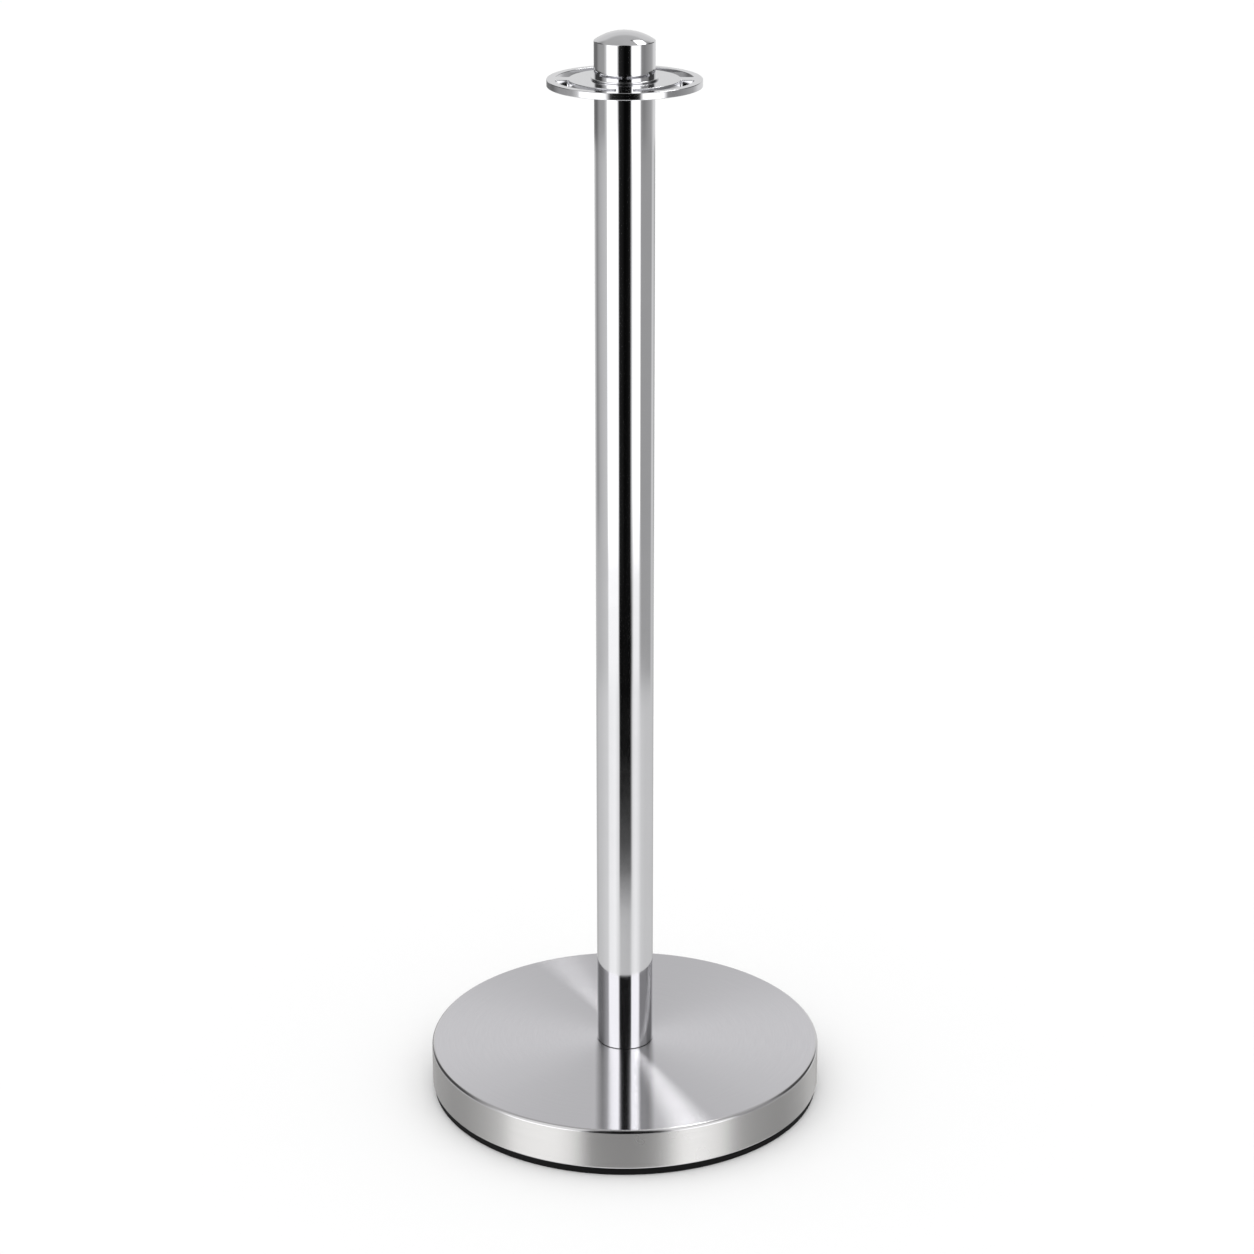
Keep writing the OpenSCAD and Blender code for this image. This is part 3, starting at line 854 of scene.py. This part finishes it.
for takes_over, cards in RINGS:
    ring = add(tree, "ShaderNodeValToRGB", {"Fac": around.outputs["Result"]})
    stops = ring.color_ramp.elements
    while len(stops) > 1:
        stops.remove(stops[-1])
    for i, (bearing, bright) in enumerate(cards):
        stop = stops[0] if i == 0 else stops.new(0.5 + bearing / 360)
        stop.position = 0.5 + bearing / 360
        stop.color = (bright / BRIGHTEST, bright / BRIGHTEST, bright / BRIGHTEST, 1)
    if takes_over is None:
        colour = ring.outputs["Color"]
        continue
    share = add(tree, "ShaderNodeMapRange", {
        "Value": axes.outputs["Z"], "From Min": math.sin(math.radians(takes_over[0])),
        "From Max": math.sin(math.radians(takes_over[1]))}, interpolation_type="SMOOTHSTEP")
    colour = add(tree, "ShaderNodeMix", {"Factor": share.outputs["Result"], "A": colour,
                                         "B": ring.outputs["Color"]},
                 data_type="RGBA").outputs["Result"]

# The black card in front reaches lower than the white ones, and its foot fades.
# Its edges are each given from where they start to where they end, in degrees.
CARD_FOOT = (-25.3, -24.7)
CARD_HEAD = (-20.0, -19.0)
CARD_SIDES = ((-18.0, -25.5), (20.0, 34.0))
CARD_FADE = (-22.3, -24.9)
CARD_FADE_CURVE = 2.4
CARD_TONES = (0.005, 0.2)
inside_card = add(tree, "ShaderNodeMapRange", {
    "Value": axes.outputs["Z"], "From Min": math.sin(math.radians(CARD_FOOT[0])),
    "From Max": math.sin(math.radians(CARD_FOOT[1]))}, interpolation_type="SMOOTHSTEP")
above = add(tree, "ShaderNodeMapRange", {
    "Value": axes.outputs["Z"], "From Min": math.sin(math.radians(CARD_HEAD[0])),
    "From Max": math.sin(math.radians(CARD_HEAD[1]))})
beside = [above.outputs["Result"]]
for inner, outer in CARD_SIDES:
    side = add(tree, "ShaderNodeMapRange", {
        "Value": angle.outputs[0], "From Min": math.radians(inner),
        "From Max": math.radians(outer)}, interpolation_type="SMOOTHSTEP")
    beside.append(side.outputs["Result"])
for outside_card in beside:
    within = add(tree, "ShaderNodeMath", {0: 1.0, 1: outside_card}, operation="SUBTRACT")
    inside_card = add(tree, "ShaderNodeMath", {0: inside_card.outputs[0],
                                               1: within.outputs[0]}, operation="MULTIPLY")
fade = add(tree, "ShaderNodeMapRange", {
    "Value": axes.outputs["Z"], "From Min": math.sin(math.radians(CARD_FADE[0])),
    "From Max": math.sin(math.radians(CARD_FADE[1]))})
fade = add(tree, "ShaderNodeMath", {0: fade.outputs["Result"], 1: CARD_FADE_CURVE},
           operation="POWER")
card_tone = add(tree, "ShaderNodeMapRange", {"Value": fade.outputs[0],
                                             "To Min": CARD_TONES[0] / BRIGHTEST,
                                             "To Max": CARD_TONES[1] / BRIGHTEST})
colour = add(tree, "ShaderNodeMix", {"Factor": inside_card.outputs[0], "A": colour,
                                     "B": card_tone.outputs["Result"]},
             data_type="RGBA").outputs["Result"]

# The cards above eye level are held back in a first reflection, so that the
# flat tops stay grey from behind. In a second one, such as the pole mirrored in
# the base, they have their full strength. Ray Depth is 2 at the first.
CARD_LIMIT = 1.0
EYE_LEVEL = (-8.0, 0.0)
ray = add(tree, "ShaderNodeLightPath")
straight = add(tree, "ShaderNodeMapRange", {"Value": ray.outputs["Ray Depth"], "From Min": 3.0,
                                            "From Max": 2.0})
upward = add(tree, "ShaderNodeMapRange", {
    "Value": axes.outputs["Z"], "From Min": math.sin(math.radians(EYE_LEVEL[0])),
    "From Max": math.sin(math.radians(EYE_LEVEL[1]))})
held = add(tree, "ShaderNodeMath", {0: straight.outputs["Result"],
                                    1: upward.outputs["Result"]}, operation="MULTIPLY")
limited = add(tree, "ShaderNodeMath", {0: colour, 1: CARD_LIMIT / BRIGHTEST},
              operation="MINIMUM")
colour = add(tree, "ShaderNodeMix", {"Factor": held.outputs[0], "A": colour,
                                     "B": limited.outputs[0]},
             data_type="RGBA").outputs["Result"]
reflected = add(tree, "ShaderNodeBackground", {"Color": colour, "Strength": BRIGHTEST})
SOFT_LIGHT = (0.45, 1.68)
sky = add(tree, "ShaderNodeMapRange", {"Value": axes.outputs["Z"], "From Min": 0.0,
                                       "From Max": 1.0, "To Min": SOFT_LIGHT[0],
                                       "To Max": SOFT_LIGHT[1]})
soft = add(tree, "ShaderNodeBackground", {"Color": (1, 1, 1, 1),
                                          "Strength": sky.outputs["Result"]})
backdrop = add(tree, "ShaderNodeBackground", {"Color": (1, 1, 1, 1), "Strength": 1.0})
unseen = add(tree, "ShaderNodeMixShader", {0: ray.outputs["Is Glossy Ray"],
                                           1: soft.outputs[0], 2: reflected.outputs[0]})
seen = add(tree, "ShaderNodeMixShader", {0: ray.outputs["Is Camera Ray"],
                                         1: unseen.outputs[0], 2: backdrop.outputs[0]})
add(tree, "ShaderNodeOutputWorld", {"Surface": seen.outputs[0]})

FLOOR_HALF = 40.0
FLOOR_TONE = 0.8
floor_paper, tree, place = new_finish("floor_paper")
surface(tree, add(tree, "ShaderNodeBsdfDiffuse", {
    "Color": (FLOOR_TONE, FLOOR_TONE, FLOOR_TONE, 1)}))
mesh = bmesh.new()
mesh.faces.new([mesh.verts.new((x * FLOOR_HALF, y * FLOOR_HALF, 0))
                for x, y in ((-1, -1), (1, -1), (1, 1), (-1, 1))])
floor = shown_piece("studio_floor", mesh)
floor.data.materials.append(floor_paper)
floor.visible_glossy = False

# A softbox above and behind to the right, brighter in its middle. It gives the
# dome its spot of light and draws the bright wedge across the brushed top. The
# floor, the softbox and the camera are placed in metres.
SOFTBOX_SIZE = (0.52, 0.42)
SOFTBOX_PLACE = (0.467, 0.478, 1.89)
SOFTBOX_TARGET = (0.0, 0.0, 0.5)
SOFTBOX_STRENGTH = 10.0
softbox_cloth, tree, place = new_finish("softbox_cloth")
axes = add(tree, "ShaderNodeSeparateXYZ", {"Vector": place})
fades = []
for axis, size in zip("XY", SOFTBOX_SIZE):
    off = add(tree, "ShaderNodeMath", {0: axes.outputs[axis]}, operation="ABSOLUTE")
    fades.append(add(tree, "ShaderNodeMapRange", {
        "Value": off.outputs[0], "From Min": size / 2, "From Max": size / 5},
        interpolation_type="SMOOTHSTEP").outputs["Result"])
glow = add(tree, "ShaderNodeMath", {0: fades[0], 1: fades[1]}, operation="MULTIPLY")
glow = add(tree, "ShaderNodeMath", {0: glow.outputs[0], 1: SOFTBOX_STRENGTH},
           operation="MULTIPLY")
lamp = add(tree, "ShaderNodeEmission", {"Strength": glow.outputs[0]})
add(tree, "ShaderNodeOutputMaterial", {"Surface": lamp.outputs[0]})
mesh = bmesh.new()
mesh.faces.new([mesh.verts.new((x * SOFTBOX_SIZE[0] / 2, y * SOFTBOX_SIZE[1] / 2, 0))
                for x, y in ((-1, -1), (1, -1), (1, 1), (-1, 1))])
softbox = shown_piece("studio_softbox", mesh)
softbox.data.materials.append(softbox_cloth)
softbox.location = SOFTBOX_PLACE
aim = Vector(SOFTBOX_PLACE) - Vector(SOFTBOX_TARGET)
softbox.rotation_euler = aim.to_track_quat("Z", "Y").to_euler()
softbox.visible_camera = False
softbox.visible_diffuse = False
softbox.visible_shadow = False

CAMERA_PLACE = (0.0019, -2.637, 1.4194)
CAMERA_DOWN = 20.253
CAMERA_LENS = 91.9
CAMERA_SENSOR = 36.0
camera_data = bpy.data.cameras.new("camera")
camera_data.lens = CAMERA_LENS
camera_data.sensor_width = CAMERA_SENSOR
camera = bpy.data.objects.new("camera", camera_data)
bpy.context.scene.collection.objects.link(camera)
camera.location = CAMERA_PLACE
camera.rotation_euler = (math.radians(90 - CAMERA_DOWN), 0, 0)
bpy.context.scene.camera = camera
bpy.context.scene.view_settings.view_transform = "Standard"
